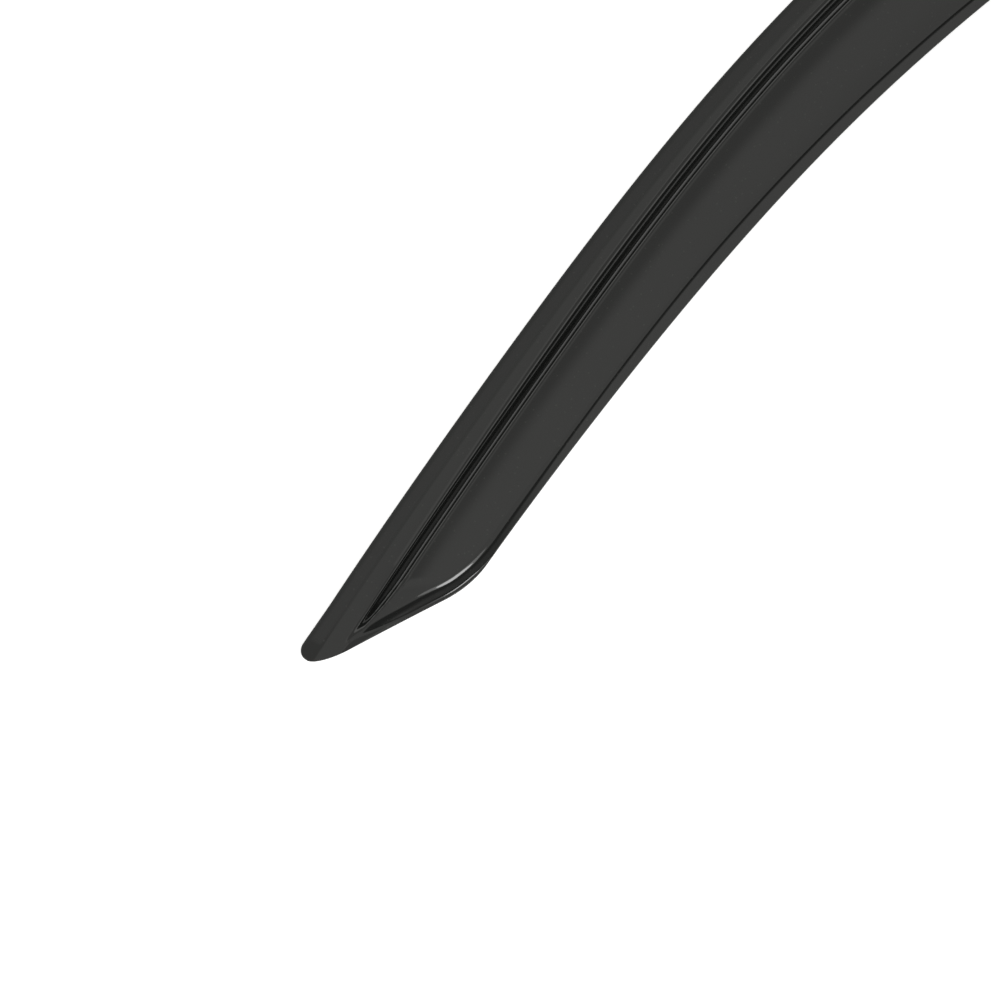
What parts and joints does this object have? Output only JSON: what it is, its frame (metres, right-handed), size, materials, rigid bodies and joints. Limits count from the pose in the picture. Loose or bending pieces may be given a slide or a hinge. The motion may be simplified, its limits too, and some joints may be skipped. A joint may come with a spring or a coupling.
{
  "type": "window rain deflector",
  "caption": "Long curved smoked acrylic deflector for a front side window, with a taped flange, a raised crowned face, a pointed front end and a square rear end.",
  "frame": {"origin": "middle of the footprint, on the surface that the part lies on", "axes": "+Z out of the visible face, +X along the part from the pointed front end to the square rear end, +Y towards the outer edge with the taped flange"},
  "size_m": [0.9056, 0.1426, 0.0143],
  "materials": {
    "smoked_acrylic": "polished, near-opaque dark smoke tint",
    "tape_foam": "closed-cell foam, fine open grain on the cut sides",
    "liner_film": "thin smooth release film, slightly wrinkled"
  },
  "bodies": {
    "root": {"deflector_shell": "smoked_acrylic", "edge_tape": "tape_foam", "end_tape": "tape_foam", "edge_liner": "liner_film", "end_liner": "liner_film"}
  },
  "joints": []
}
